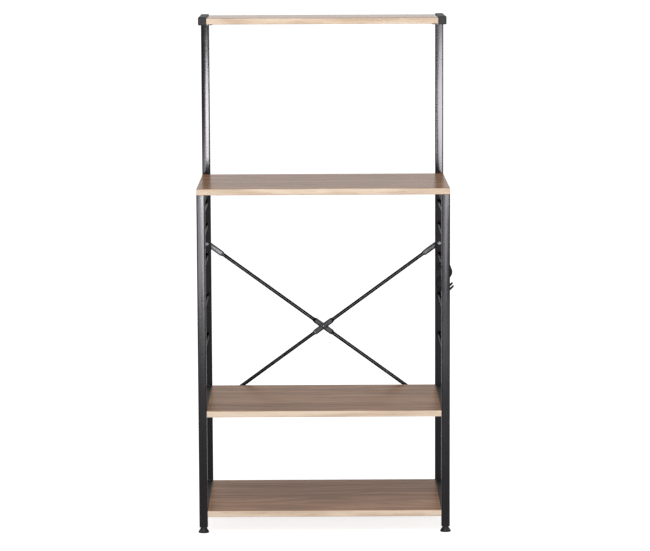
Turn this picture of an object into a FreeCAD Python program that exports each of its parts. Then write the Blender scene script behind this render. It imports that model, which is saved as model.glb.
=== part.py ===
import FreeCAD, Part
import Sketcher
import math
import os
import re

# Baker's rack: two welded tube side frames, four boards screwed to them, a crossed
# rear brace, screw feet and two S hooks hung on a side rung.
# +X is the rack's right, +Y its rear, +Z up. The origin is on the floor, midway between the posts.

# Driving sizes, in millimetres and degrees
SIZES = {
    "rack_width": 600,
    "rack_depth": 400,
    "rack_height": 1225,
    "tube": 20,
    "tube_wall": 1.2,
    "tube_corner": 2.6,
    "board": 15,
    "board_edge": 0.8,
    "counter_top": 828,
    "middle_top": 296,
    "base_top": 54,
    "top_reach": 200,
    "top_recess": 3,
    "rung_diameter": 10,
    "rung_wall": 1,
    "rung_first": 758,
    "rung_second": 702,
    "rung_third": 627,
    "rung_fourth": 526,
    "rung_fifth": 427,
    "brace_diameter": 9,
    "brace_flat": 3,
    "brace_flat_width": 13.5,
    "brace_end_length": 51,
    "brace_middle_length": 50,
    "brace_taper": 6,
    "brace_high": 653,
    "brace_low": 230,
    "bolt_diameter": 5,
    "bolt_head_diameter": 11,
    "bolt_crown_diameter": 7.5,
    "bolt_head": 2.6,
    "nut_across": 8,
    "nut_height": 4,
    "bolt_past_nut": 1.5,
    "rivet_head_diameter": 8,
    "rivet_head": 1.4,
    "hole_free": 0.2,
    "plug_free": 0.15,
    "plug_length": 22,
    "cap_plate": 2.5,
    "cap_stub": 12,
    "foot_height": 13.6,
    "foot_free": 0.3,
    "foot_diameter": 25.5,
    "foot_neck": 15,
    "foot_rim": 2.6,
    "foot_neck_height": 2.5,
    "foot_flare": 3.2,
    "stud_diameter": 8,
    "stud_in_foot": 9,
    "stud_in_post": 30,
    "stud_free": 0.3,
    "tab_thick": 2,
    "tab_width": 30,
    "tab_reach": 18,
    "tab_round": 4,
    "tab_inset": 60,
    "screw_diameter": 4,
    "screw_head_diameter": 8,
    "screw_head": 2.2,
    "screw_bite": 10,
    "hook_free": 0.3,
    "hook_wire": 5,
    "hook_upper": 16.5,
    "hook_lower": 16,
    "hook_bend": 225,
    "hook_upper_tail": 6,
    "hook_lower_tail": 13,
    "hook_front_inset": 80,
    "hook_pitch": 55,
}

SIDES = {"left": -1, "right": 1}
ENDS = {"front": -1, "rear": 1}
RUNGS = ("first", "second", "third", "fourth", "fifth")
HOOK_RUNG = "rung_third"

doc = FreeCAD.newDocument("bakers_rack")
sheet = doc.addObject("Spreadsheet::Sheet", "Sizes")
for line, (alias, number) in enumerate(SIZES.items(), start=1):
    sheet.set(f"A{line}", alias.replace("_", " "))
    sheet.set(f"B{line}", str(number))
    sheet.setAlias(f"B{line}", alias)
doc.recompute()

nodes = []


def mm(alias):
    """One driving size, read from the sheet."""
    return float(sheet.get(alias))


def term(text):
    """An expression in which each size's bare name points at its cell."""
    return re.sub(r"[a-z]+(?:_[a-z]+)*", lambda m: "Sizes." + m[0] if m[0] in SIZES else m[0], text)


def bind(thing, **properties):
    """Tie properties of an object to expressions of the sizes."""
    for name, text in properties.items():
        thing.setExpression(name, term(text))


def place(thing, x="0", y="0", z="0", turn=None):
    """Set an object's place from expressions, after a fixed turn."""
    if turn is not None:
        thing.Placement = FreeCAD.Placement(FreeCAD.Vector(), turn)
    for axis, text in zip("xyz", (x, y, z)):
        thing.setExpression(f"Placement.Base.{axis}", term(text))
    return thing


def keep(thing, label):
    """Name an object as one of the rack's pieces."""
    thing.Label = label
    nodes.append(thing)
    return thing


# Turns that lay a piece made along +Z along another axis
ALONG_Y = FreeCAD.Rotation(FreeCAD.Vector(1, 0, 0), -90)
ALONG_MINUS_Y = FreeCAD.Rotation(FreeCAD.Vector(1, 0, 0), 90)

# Places shared by several pieces
POST_X = "(rack_width - tube) / 2"
POST_Y = "(rack_depth - tube) / 2"
POST_FOOT = "(foot_height + foot_free)"
REAR_FACE = "(rack_depth / 2)"
REAR_FRONT = "(rack_depth / 2 - tube)"
INNER_WIDTH = "(rack_width - 2 * tube)"
RAIL_RUN = "(rack_depth - 2 * tube)"
COUNTER_UNDER = "(counter_top - board)"
TOP_FRONT = "(rack_depth / 2 - top_reach)"
BOLT_HOLE = "(bolt_diameter + 2 * hole_free)"


def cylinder(name, radius, height):
    """A plain cylinder along +Z, sized by expressions."""
    rod = doc.addObject("Part::Cylinder", name)
    bind(rod, Radius=radius, Height=height)
    return rod


def box(name, length, width, height):
    """A plain box from its lowest corner, sized by expressions."""
    block = doc.addObject("Part::Box", name)
    bind(block, Length=length, Width=width, Height=height)
    return block


def fused(name, *shapes):
    """Several overlapping objects as one solid."""
    whole = doc.addObject("Part::MultiFuse", name)
    whole.Shapes = list(shapes)
    whole.Refine = True
    return whole


def group(name, shapes):
    """Several separate solids as one piece."""
    compound = doc.addObject("Part::Compound", name)
    compound.Links = list(shapes)
    return compound


def drilled(name, base, tools):
    """An object less its holes."""
    cut = doc.addObject("Part::Cut", name)
    cut.Base = base
    cut.Tool = tools[0] if len(tools) == 1 else group(name + "_holes", tools)
    return cut


def base_plane(body, role):
    """One of a body's own origin planes."""
    return next(item for item in body.Origin.OriginFeatures if item.Role == role)


def section_sketch(body, name, role="XY_Plane"):
    """An empty sketch on one of a body's origin planes."""
    sketch = body.newObject("Sketcher::SketchObject", name)
    sketch.AttachmentSupport = (base_plane(body, role), [""])
    sketch.MapMode = "FlatFace"
    return sketch


def rounded_square(sketch, side, corner, side_text, corner_text):
    """Draw a centred square with rounded corners, held by two named sizes."""
    half = side / 2
    flat = half - corner
    first = sketch.GeometryCount
    point = FreeCAD.Vector
    runs = (
        (point(-flat, -half), point(flat, -half)),
        (point(half, -flat), point(half, flat)),
        (point(flat, half), point(-flat, half)),
        (point(-half, flat), point(-half, -flat)),
    )
    centres = (point(flat, -flat), point(flat, flat), point(-flat, flat), point(-flat, -flat))
    for start, end in runs:
        sketch.addGeometry(Part.LineSegment(start, end), False)
    for quarter, centre in enumerate(centres):
        circle = Part.Circle(centre, point(0, 0, 1), corner)
        start = (quarter - 1) * math.pi / 2
        sketch.addGeometry(Part.ArcOfCircle(circle, start, start + math.pi / 2), False)
    line = [first + index for index in range(4)]
    arc = [first + 4 + index for index in range(4)]
    rules = []
    for index in range(4):
        rules.append(Sketcher.Constraint("Tangent", line[index], 2, arc[index], 1))
        rules.append(Sketcher.Constraint("Tangent", arc[index], 2, line[(index + 1) % 4], 1))
    rules.append(Sketcher.Constraint("Horizontal", line[0]))
    rules.append(Sketcher.Constraint("Vertical", line[1]))
    rules.append(Sketcher.Constraint("Horizontal", line[2]))
    rules.append(Sketcher.Constraint("Vertical", line[3]))
    for index in range(1, 4):
        rules.append(Sketcher.Constraint("Equal", arc[0], arc[index]))
    rules.append(Sketcher.Constraint("Symmetric", arc[0], 3, arc[2], 3, -1, 1))
    sketch.addConstraint(rules)
    for kind, ends, text in (
        ("Radius", (arc[0],), corner_text),
        ("DistanceX", (arc[3], 3, arc[0], 3), f"{side_text} - 2 * ({corner_text})"),
        ("DistanceY", (arc[0], 3, arc[1], 3), f"{side_text} - 2 * ({corner_text})"),
    ):
        number = corner if kind == "Radius" else 2 * flat
        added = sketch.addConstraint(Sketcher.Constraint(kind, *ends, number))
        sketch.setExpression(f"Constraints[{added}]", term(text))


def pad(body, sketch, length, backwards=False):
    """Raise a sketch into its body by an expression's length."""
    raised = body.newObject("PartDesign::Pad", sketch.Name + "_pad")
    raised.Profile = sketch
    raised.Reversed = backwards
    bind(raised, Length=length)
    sketch.Visibility = False
    return raised


def square_tube(name, length):
    """A square tube with rounded corners, along +Z from the origin."""
    body = doc.addObject("PartDesign::Body", name)
    section = section_sketch(body, name + "_section")
    rounded_square(section, mm("tube"), mm("tube_corner"), "tube", "tube_corner")
    inside = mm("tube") - 2 * mm("tube_wall")
    inner_corner = mm("tube_corner") - mm("tube_wall")
    rounded_square(section, inside, inner_corner, "tube - 2 * tube_wall", "tube_corner - tube_wall")
    pad(body, section, length)
    return body


PLUG_SIDE = "tube - 2 * tube_wall - 2 * plug_free"


def plug_section(body, name):
    """A sketch of the square that slips inside a tube's end."""
    section = section_sketch(body, name + "_stub")
    side = mm("tube") - 2 * mm("tube_wall") - 2 * mm("plug_free")
    rounded_square(section, side, mm("tube_corner"), PLUG_SIDE, "tube_corner")
    return section


def hole_along_y(name, diameter, length, x, y, z):
    """A drill along +Y that starts at a place given by expressions."""
    return place(cylinder(name, f"{diameter} / 2", length), x, y, z, ALONG_Y)


def bolt_places():
    """Name, side and height of the four points where the braces meet the rear posts."""
    return [
        (f"{side}_{level}", sign, f"brace_{level}")
        for side, sign in SIDES.items()
        for level in ("high", "low")
    ]


# Side frames: two posts, the rails that carry the boards and five hook rungs on each side
def front_post(side, sign):
    """The short post that stands under the counter's front corner."""
    post = square_tube(f"{side}_front_tube", f"{COUNTER_UNDER} - {POST_FOOT}")
    place(post, f"{sign} * {POST_X}", f"-{POST_Y}", POST_FOOT)
    keep(post, f"{side}_front_post")


def rear_post(side, sign):
    """The tall post that carries the top shelf, drilled through for the brace bolts."""
    x = f"{sign} * {POST_X}"
    post = square_tube(f"{side}_rear_tube", f"rack_height - tube - {POST_FOOT}")
    place(post, x, POST_Y, POST_FOOT)
    drills = [
        hole_along_y(f"{name}_drill", BOLT_HOLE, "tube", x, REAR_FRONT, level)
        for name, at, level in bolt_places()
        if at == sign
    ]
    keep(drilled(f"{side}_rear_drilled", post, drills), f"{side}_rear_post")


def rail(side, sign, name, top):
    """A rail from post to post whose upper face is at a given height."""
    tube = square_tube(f"{side}_{name}_tube", RAIL_RUN)
    place(tube, f"{sign} * {POST_X}", f"-{RAIL_RUN} / 2", f"{top} - tube / 2", ALONG_Y)
    return tube


def counter_screw_ys():
    """Where along a counter rail its two screws stand."""
    return {end: f"{mark} * ({RAIL_RUN} / 2 - tab_inset)" for end, mark in ENDS.items()}


def counter_rail(side, sign):
    """The rail under the counter, drilled upright for the counter's screws."""
    tube = rail(side, sign, "counter", COUNTER_UNDER)
    drills = []
    for end, y in counter_screw_ys().items():
        drill = cylinder(f"{side}_{end}_rail_drill", "screw_diameter / 2 + hole_free", "tube")
        drills.append(place(drill, f"{sign} * {POST_X}", y, f"{COUNTER_UNDER} - tube"))
    keep(drilled(f"{side}_counter_drilled", tube, drills), f"{side}_counter_rail")


def top_rail(side, sign):
    """The rail over the rear post that reaches forward beside the top shelf."""
    tube = square_tube(f"{side}_top_tube", "top_reach - 2 * cap_plate")
    place(tube, f"{sign} * {POST_X}", f"{TOP_FRONT} + cap_plate", "rack_height - tube / 2", ALONG_Y)
    keep(tube, f"{side}_top_rail")


def top_rail_caps(side, sign):
    """The moulded caps that close the two ends of a top rail."""
    for end in ENDS:
        name = f"{side}_{end}_cap"
        body = doc.addObject("PartDesign::Body", name + "_body")
        plate = section_sketch(body, name + "_plate")
        rounded_square(plate, mm("tube"), mm("tube_corner"), "tube", "tube_corner")
        pad(body, plate, "cap_plate", backwards=True)
        pad(body, plug_section(body, name), "cap_stub")
        y = f"{TOP_FRONT} + cap_plate" if end == "front" else f"{REAR_FACE} - cap_plate"
        turn = ALONG_Y if end == "front" else ALONG_MINUS_Y
        place(body, f"{sign} * {POST_X}", y, "rack_height - tube / 2", turn)
        keep(body, f"{side}_top_rail_{end}_cap")


def hook_rungs(side, sign):
    """The round tube rungs between the posts that hooks hang on."""
    x = f"{sign} * {POST_X}"
    for name in RUNGS:
        start = f"-{RAIL_RUN} / 2"
        rod = cylinder(f"{side}_{name}_rod", "rung_diameter / 2", RAIL_RUN)
        place(rod, x, start, f"rung_{name}", ALONG_Y)
        bore = hole_along_y(
            f"{side}_{name}_bore", "(rung_diameter - 2 * rung_wall)", RAIL_RUN, x, start, f"rung_{name}"
        )
        keep(drilled(f"{side}_{name}_tube", rod, [bore]), f"{side}_{name}_rung")


# Boards, the tabs that carry them and their screws
def softened(name, block):
    """A board with all its edges broken by a small chamfer."""
    eased = doc.addObject("Part::Chamfer", name)
    eased.Base = block
    eased.Edges = [(edge, mm("board_edge"), mm("board_edge")) for edge in range(1, 13)]
    return eased


def pilot(name, x, y, z):
    """The blind hole that one screw bites into."""
    return place(cylinder(name, "screw_diameter / 2 + hole_free", "screw_bite + hole_free"), x, y, z)


def pan_screw(name, x, y, under, grip):
    """An upright screw whose head bears on a face from below."""
    head = cylinder(name + "_head", "screw_head_diameter / 2", "screw_head")
    place(head, x, y, f"{under} - screw_head")
    shank = cylinder(name + "_shank", "screw_diameter / 2", f"{grip} + screw_bite + screw_head / 2")
    place(shank, x, y, f"{under} - screw_head / 2")
    return fused(name, head, shank)


def counter():
    """The full width work board that rests on the front posts and the counter rails."""
    block = box("counter_block", "rack_width", "rack_depth - tube", "board")
    place(block, "-rack_width / 2", "-rack_depth / 2", COUNTER_UNDER)
    holes = []
    screws = []
    for side, sign in SIDES.items():
        for end, y in counter_screw_ys().items():
            x = f"{sign} * {POST_X}"
            holes.append(pilot(f"{side}_{end}_counter_pilot", x, y, COUNTER_UNDER))
            under = f"({COUNTER_UNDER} - tube)"
            screws.append(pan_screw(f"{side}_{end}_counter_screw", x, y, under, "tube"))
    keep(drilled("counter_drilled", softened("counter_eased", block), holes), "counter_board")
    keep(group("counter_screw_set", screws), "counter_screws")


def tab(name, sign, y, board_under):
    """A welded plate with two rounded corners, drilled for one screw, that a board rests on."""
    plate = box(name + "_plate", "tab_reach", "tab_width", "tab_thick")
    inner = f"{INNER_WIDTH} / 2"
    x = f"-{inner}" if sign < 0 else f"{inner} - tab_reach"
    place(plate, x, f"{y} - tab_width / 2", f"{board_under} - tab_thick")
    rounded = doc.addObject("Part::Fillet", name + "_rounded")
    rounded.Base = plate
    doc.recompute()
    reach = sign * (mm("rack_width") / 2 - mm("tube") - mm("tab_reach"))
    free = [
        number
        for number, edge in enumerate(plate.Shape.Edges, start=1)
        if abs(edge.Length - mm("tab_thick")) < 1e-6 and abs(edge.CenterOfMass.x - reach) < 1e-6
    ]
    rounded.Edges = [(number, mm("tab_round"), mm("tab_round")) for number in free]
    hole = cylinder(name + "_hole", "screw_diameter / 2 + hole_free", "tab_thick")
    place(hole, tab_screw_x(sign), y, f"{board_under} - tab_thick")
    return drilled(name, rounded, [hole])


def tab_screw_x(sign):
    """Where across the rack a tab's screw stands."""
    return f"{sign} * ({INNER_WIDTH} / 2 - tab_reach / 2)"


def shelf(name, top, front, depth, inset):
    """A board between the side frames, on four welded tabs with a screw in each."""
    under = f"({top} - board)"
    block = box(f"{name}_block", INNER_WIDTH, depth, "board")
    place(block, f"-{INNER_WIDTH} / 2", front, under)
    tabs = []
    holes = []
    screws = []
    for side, sign in SIDES.items():
        for end, y in (("front", f"({front} + {inset})"), ("rear", f"({front} + {depth} - {inset})")):
            spot = f"{name}_{side}_{end}"
            x = tab_screw_x(sign)
            tabs.append(tab(spot + "_tab", sign, y, under))
            holes.append(pilot(spot + "_pilot", x, y, under))
            screws.append(pan_screw(spot + "_screw", x, y, f"({under} - tab_thick)", "tab_thick"))
    keep(drilled(f"{name}_drilled", softened(f"{name}_eased", block), holes), f"{name}_board")
    keep(group(f"{name}_tab_set", tabs), f"{name}_tabs")
    keep(group(f"{name}_screw_set", screws), f"{name}_screws")


# Rear brace: two round rods pressed flat at their ends and where they cross
def round_section(x):
    """The brace rod's full round, as four arcs, at x along the rod."""
    radius = mm("brace_diameter") / 2
    slant = radius * math.sqrt(0.5)
    return section_wire(x, 0, slant, slant, radius, radius)


def flat_section(x, offset):
    """The pressed flat with rounded edges, at x along the rod and off its axis."""
    half_width = mm("brace_flat_width") / 2
    half_thick = mm("brace_flat") / 2
    return section_wire(x, offset, half_width - half_thick, half_thick, half_width, half_thick)


def section_wire(x, offset, corner_z, corner_y, edge_z, face_y):
    """Four edges through four corners; a face is flat where it lies level with its corners."""
    point = FreeCAD.Vector
    front_low = point(x, offset - corner_y, -corner_z)
    front_high = point(x, offset - corner_y, corner_z)
    rear_high = point(x, offset + corner_y, corner_z)
    rear_low = point(x, offset + corner_y, -corner_z)
    if face_y > corner_y:
        front = Part.Arc(front_low, point(x, offset - face_y, 0), front_high)
        rear = Part.Arc(rear_high, point(x, offset + face_y, 0), rear_low)
    else:
        front = Part.LineSegment(front_low, front_high)
        rear = Part.LineSegment(rear_high, rear_low)
    upper = Part.Arc(front_high, point(x, offset, edge_z), rear_high)
    lower = Part.Arc(rear_low, point(x, offset, -edge_z), front_low)
    return Part.Wire([edge.toShape() for edge in (front, upper, rear, lower)])


def brace_slot(half, width, depth):
    """A block with half round ends, as long as the rod, that trims the rod's two tips."""
    point = FreeCAD.Vector
    edge = width / 2
    tip = half + edge
    left_low = point(-half, -depth, -edge)
    left_high = point(-half, -depth, edge)
    right_low = point(half, -depth, -edge)
    right_high = point(half, -depth, edge)
    outline = (
        Part.LineSegment(left_low, right_low),
        Part.Arc(right_low, point(tip, -depth, 0), right_high),
        Part.LineSegment(right_high, left_high),
        Part.Arc(left_high, point(-tip, -depth, 0), left_low),
    )
    face = Part.Face(Part.Wire([curve.toShape() for curve in outline]))
    return face.extrude(point(0, 2 * depth, 0))


def brace(label, slope, middle_offset):
    """One rod of the brace, lofted from flat to round and back, with round ends and three holes."""
    rise = mm("brace_high") - mm("brace_low")
    run = mm("rack_width") - mm("tube")
    half = math.hypot(run, rise) / 2
    width = mm("brace_flat_width")
    rod = mm("brace_diameter")
    end_offset = (mm("brace_flat") - rod) / 2
    tip = half + width / 2
    end_flat = tip - mm("brace_end_length")
    middle_flat = mm("brace_middle_length") / 2

    def half_rod(side):
        """The sections of one half, from its tip to its middle flat."""
        return [
            flat_section(side * tip, end_offset),
            flat_section(side * end_flat, end_offset),
            round_section(side * (end_flat - mm("brace_taper"))),
            round_section(side * (middle_flat + mm("brace_taper"))),
            flat_section(side * middle_flat, middle_offset),
        ]

    solid = Part.makeLoft(half_rod(-1) + half_rod(1)[::-1], True, True)
    solid = solid.common(brace_slot(half, width, rod))
    bore = mm("bolt_diameter") / 2 + mm("hole_free")
    across = FreeCAD.Vector(0, 1, 0)
    for x in (-half, 0, half):
        solid = solid.cut(Part.makeCylinder(bore, 2 * rod, FreeCAD.Vector(x, -rod, 0), across))
    piece = doc.addObject("Part::Feature", label + "_rod")
    piece.Shape = solid.Solids[0]
    angle = slope * math.degrees(math.atan2(rise, run))
    middle_height = (mm("brace_high") + mm("brace_low")) / 2
    middle = FreeCAD.Vector(0, mm("rack_depth") / 2 + rod / 2, middle_height)
    piece.Placement = FreeCAD.Placement(middle, FreeCAD.Rotation(across, -angle))
    keep(piece, label)


def hexagon_nut(name, x, y, z):
    """A hexagonal nut with its bearing face at y, bored for the bolt."""
    prism = doc.addObject("Part::Prism", name + "_prism")
    prism.Polygon = 6
    bind(prism, Circumradius="nut_across / sqrt(3)", Height="nut_height")
    place(prism, x, y, z, ALONG_Y)
    bore = hole_along_y(name + "_bore", BOLT_HOLE, "nut_height", x, y, z)
    return drilled(name, prism, [bore])


def brace_fasteners():
    """The four through bolts and nuts at the posts, and the rivet where the rods cross."""
    bolts = []
    nuts = []
    for name, sign, level in bolt_places():
        x = f"{sign} * {POST_X}"
        head = doc.addObject("Part::Cone", name + "_bolt_head")
        bind(head, Radius1="bolt_head_diameter / 2", Radius2="bolt_crown_diameter / 2", Height="bolt_head")
        place(head, x, REAR_FRONT, level, ALONG_MINUS_Y)
        shank_length = "bolt_head / 2 + tube + brace_flat + nut_height + bolt_past_nut"
        shank = cylinder(name + "_bolt_shank", "bolt_diameter / 2", shank_length)
        place(shank, x, f"{REAR_FRONT} - bolt_head / 2", level, ALONG_Y)
        bolts.append(fused(name + "_bolt", head, shank))
        nuts.append(hexagon_nut(name + "_nut", x, f"{REAR_FACE} + brace_flat", level))
    keep(group("brace_bolt_set", bolts), "brace_bolts")
    keep(group("brace_nut_set", nuts), "brace_nuts")
    middle = "(brace_high + brace_low) / 2"
    joint_plane = f"{REAR_FACE} + brace_diameter / 2"
    front_head = cylinder("rivet_front_head", "rivet_head_diameter / 2", "rivet_head")
    place(front_head, "0", f"{joint_plane} - brace_flat - rivet_head", middle, ALONG_Y)
    rear_head = cylinder("rivet_rear_head", "rivet_head_diameter / 2", "rivet_head")
    place(rear_head, "0", f"{joint_plane} + brace_flat", middle, ALONG_Y)
    shank = cylinder("rivet_shank", "bolt_diameter / 2", "2 * brace_flat + rivet_head")
    place(shank, "0", f"{joint_plane} - brace_flat - rivet_head / 2", middle, ALONG_Y)
    keep(fused("rivet_whole", front_head, rear_head, shank), "brace_rivet")


# Feet: a plug in each post's end and a flared foot on a stud that screws into it
def revolved_foot(name):
    """The flared moulded foot with a blind socket for its stud, turned about Z."""
    body = doc.addObject("PartDesign::Body", name)
    sketch = section_sketch(body, name + "_profile", "XZ_Plane")
    base = mm("foot_diameter") / 2
    neck = mm("foot_neck") / 2
    socket = mm("stud_diameter") / 2
    top = mm("foot_height")
    rim = mm("foot_rim")
    shoulder = top - mm("foot_neck_height")
    floor = top - mm("stud_in_foot")
    corners = (
        (0, 0, "0", "0"),
        (base, 0, "foot_diameter / 2", "0"),
        (base, rim, "foot_diameter / 2", "foot_rim"),
        (neck, shoulder, "foot_neck / 2", "foot_height - foot_neck_height"),
        (neck, top, "foot_neck / 2", "foot_height"),
        (socket, top, "stud_diameter / 2", "foot_height"),
        (socket, floor, "stud_diameter / 2", "foot_height - stud_in_foot"),
        (0, floor, "0", "foot_height - stud_in_foot"),
    )
    for index, (x, z, _, _) in enumerate(corners):
        next_x, next_z, _, _ = corners[(index + 1) % len(corners)]
        start = FreeCAD.Vector(x, z)
        end = FreeCAD.Vector(next_x, next_z)
        sketch.addGeometry(Part.LineSegment(start, end), False)
    for index in range(len(corners)):
        following = (index + 1) % len(corners)
        sketch.addConstraint(Sketcher.Constraint("Coincident", index, 2, following, 1))
    for index, (x, z, x_text, z_text) in enumerate(corners):
        for kind, number, text in (("DistanceX", x, x_text), ("DistanceY", z, z_text)):
            if text == "0":
                axis = -2 if kind == "DistanceX" else -1
                sketch.addConstraint(Sketcher.Constraint("PointOnObject", index, 1, axis))
            else:
                added = sketch.addConstraint(Sketcher.Constraint(kind, -1, 1, index, 1, number))
                sketch.setExpression(f"Constraints[{added}]", term(text))
    turned = body.newObject("PartDesign::Revolution", name + "_turned")
    turned.Profile = sketch
    turned.ReferenceAxis = (sketch, ["V_Axis"])
    turned.Angle = 360
    sketch.Visibility = False
    doc.recompute()
    waist = [
        f"Edge{number}"
        for number, edge in enumerate(turned.Shape.Edges, start=1)
        if edge.Closed
        and abs(edge.CenterOfMass.z - shoulder) < 1e-4
        and abs(edge.Curve.Radius - neck) < 1e-4
    ]
    flare = body.newObject("PartDesign::Fillet", name + "_flare")
    flare.Base = (turned, waist)
    bind(flare, Radius="foot_flare")
    body.Tip = flare
    return body


def feet():
    """Plug, stud and foot for each of the four posts."""
    for side, sign in SIDES.items():
        for end, mark in ENDS.items():
            name = f"{end}_{side}"
            x = f"{sign} * {POST_X}"
            y = f"{mark} * {POST_Y}"
            plug = doc.addObject("PartDesign::Body", name + "_plug_body")
            section = plug_section(plug, name + "_plug")
            bore = Part.Circle(FreeCAD.Vector(), FreeCAD.Vector(0, 0, 1), mm("stud_diameter") / 2)
            ring = section.addGeometry(bore, False)
            section.addConstraint(Sketcher.Constraint("Coincident", ring, 3, -1, 1))
            added = section.addConstraint(Sketcher.Constraint("Radius", ring, mm("stud_diameter") / 2))
            section.setExpression(f"Constraints[{added}]", term("stud_diameter / 2 + stud_free"))
            pad(plug, section, "plug_length")
            keep(place(plug, x, y, POST_FOOT), f"{name}_post_plug")
            keep(place(revolved_foot(name + "_foot_body"), x, y, "0"), f"{name}_foot")
            stud = cylinder(name + "_stud_rod", "stud_diameter / 2", "stud_in_foot + stud_in_post")
            keep(place(stud, x, y, "foot_height - stud_in_foot"), f"{name}_foot_stud")


# S hooks: round wire bent into two open bends, hung on a rung of the right side
UPPER_LOOP_Z = f"({HOOK_RUNG} + rung_diameter / 2 + hook_free + hook_wire / 2 - hook_upper)"
LOWER_LOOP_Z = f"({UPPER_LOOP_Z} - hook_upper - hook_lower)"


def bent_end(name, radius, first_angle, tail, y, z):
    """Half a hook: wire bent round from its first angle, a straight tail and the ball at its tip."""
    ring = doc.addObject("Part::Torus", name)
    bind(ring, Radius1=radius, Radius2="hook_wire / 2", Angle3="hook_bend")
    upright = FreeCAD.Rotation(FreeCAD.Vector(1, 0, 0), 90)
    spin = FreeCAD.Rotation(FreeCAD.Vector(0, 0, 1), first_angle)
    place(ring, POST_X, y, z, upright.multiply(spin))
    angle = f"({first_angle} + hook_bend)"
    bend_x = f"{POST_X} + {radius} * cos({angle})"
    bend_z = f"{z} + {radius} * sin({angle})"
    rod = cylinder(name + "_tail", "hook_wire / 2", tail)
    lean = FreeCAD.Rotation(FreeCAD.Vector(0, 1, 0), -(first_angle + mm("hook_bend")))
    place(rod, bend_x, y, bend_z, lean)
    ball = doc.addObject("Part::Sphere", name + "_tip")
    bind(ball, Radius="hook_wire / 2")
    place(ball, f"{bend_x} - {tail} * sin({angle})", y, f"{bend_z} + {tail} * cos({angle})")
    return ring, rod, ball


def s_hook(name, y):
    """One hook: its upper bend goes over the rung, and the lower one opens outwards."""
    upper = bent_end(name + "_upper", "hook_upper", -90, "hook_upper_tail", y, UPPER_LOOP_Z)
    lower = bent_end(name + "_lower", "hook_lower", 90, "hook_lower_tail", y, LOWER_LOOP_Z)
    keep(fused(name + "_wire", *upper, *lower), name)


def check_and_write():
    """Stop on a failed object, then write each piece to its own file."""
    doc.recompute()
    for thing in doc.Objects:
        if {"Invalid", "Error"} & set(thing.State):
            raise RuntimeError(f"{thing.Name} is in state {thing.State}")
    for node in nodes:
        if node.Shape.isNull() or not node.Shape.isValid() or not node.Shape.Solids:
            raise RuntimeError(f"{node.Label} has no valid solid")
    os.makedirs("parts", exist_ok=True)
    for node in nodes:
        node.Shape.exportStep(f"parts/{node.Label}.step")


for side_name, side_sign in SIDES.items():
    front_post(side_name, side_sign)
    rear_post(side_name, side_sign)
    counter_rail(side_name, side_sign)
    for shelf_name in ("middle", "base"):
        tube = rail(side_name, side_sign, shelf_name, f"{shelf_name}_top")
        keep(tube, f"{side_name}_{shelf_name}_rail")
    top_rail(side_name, side_sign)
    top_rail_caps(side_name, side_sign)
    hook_rungs(side_name, side_sign)

counter()
shelf("top", "(rack_height - top_recess)", TOP_FRONT, "top_reach", "tab_inset")
for shelf_name in ("middle", "base"):
    shelf(shelf_name, f"{shelf_name}_top", "-rack_depth / 2", "(rack_depth - tube)", "(tab_inset + tube)")

lap = mm("brace_flat") / 2
brace("brace_rising_right", 1, -lap)
brace("brace_rising_left", -1, lap)
brace_fasteners()
feet()
hook_y = "(hook_front_inset - rack_depth / 2)"
s_hook("front_s_hook", hook_y)
s_hook("rear_s_hook", f"({hook_y} + hook_pitch)")
check_and_write()
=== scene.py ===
"""Looks of a baker's rack: finishes, small fasteners, welds and a plain white studio."""

import logging
import math
from dataclasses import dataclass, field, replace
from enum import Enum
from typing import Callable, Sequence, Union

import bmesh
import bpy
from mathutils import Matrix, Vector


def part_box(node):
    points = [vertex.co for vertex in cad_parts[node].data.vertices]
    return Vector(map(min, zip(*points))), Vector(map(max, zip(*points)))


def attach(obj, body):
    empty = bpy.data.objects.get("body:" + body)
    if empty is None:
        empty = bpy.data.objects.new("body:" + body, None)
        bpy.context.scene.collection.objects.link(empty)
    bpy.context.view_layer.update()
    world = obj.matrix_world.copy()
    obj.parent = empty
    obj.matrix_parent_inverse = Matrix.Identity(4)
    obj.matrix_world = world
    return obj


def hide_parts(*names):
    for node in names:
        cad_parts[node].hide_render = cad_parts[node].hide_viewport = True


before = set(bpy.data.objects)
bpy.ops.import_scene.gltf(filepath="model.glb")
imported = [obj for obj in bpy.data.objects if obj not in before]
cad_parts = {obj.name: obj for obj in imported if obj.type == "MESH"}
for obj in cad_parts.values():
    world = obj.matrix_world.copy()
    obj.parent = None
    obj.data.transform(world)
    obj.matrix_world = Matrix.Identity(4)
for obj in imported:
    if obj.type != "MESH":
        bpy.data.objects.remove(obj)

LOG = logging.getLogger("bakers_rack")
MM = 0.001
ROOT = "rack"
UP = Vector((0.0, 0.0, 1.0))
DOWN = -UP
FORWARD = Vector((0.0, -1.0, 0.0))
REARWARD = -FORWARD

# Vertices within this distance are one, and edges past this angle stay crisp.
TOUCH = 1e-6
CRISP = math.radians(32)

Triple = tuple[float, float, float]
Colour = Triple
Tones = tuple[Colour, Colour, Colour]
Span = tuple[float, float]
Profile = Sequence[tuple[float, float]]
Value = Union[float, Sequence[float], "Signal"]
Inputs = dict[Union[str, int], Value]


class Slot(Enum):
    """The record's material slots."""

    FRAME = "frame_steel"
    PLASTIC = "black_plastic"
    FASTENER = "fastener_steel"


class Side(Enum):
    """A side of the rack, as its nodes are named."""

    LEFT = "left"
    RIGHT = "right"


class End(Enum):
    """An end of the rack's depth, as its nodes are named."""

    FRONT = "front"
    REAR = "rear"


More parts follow.
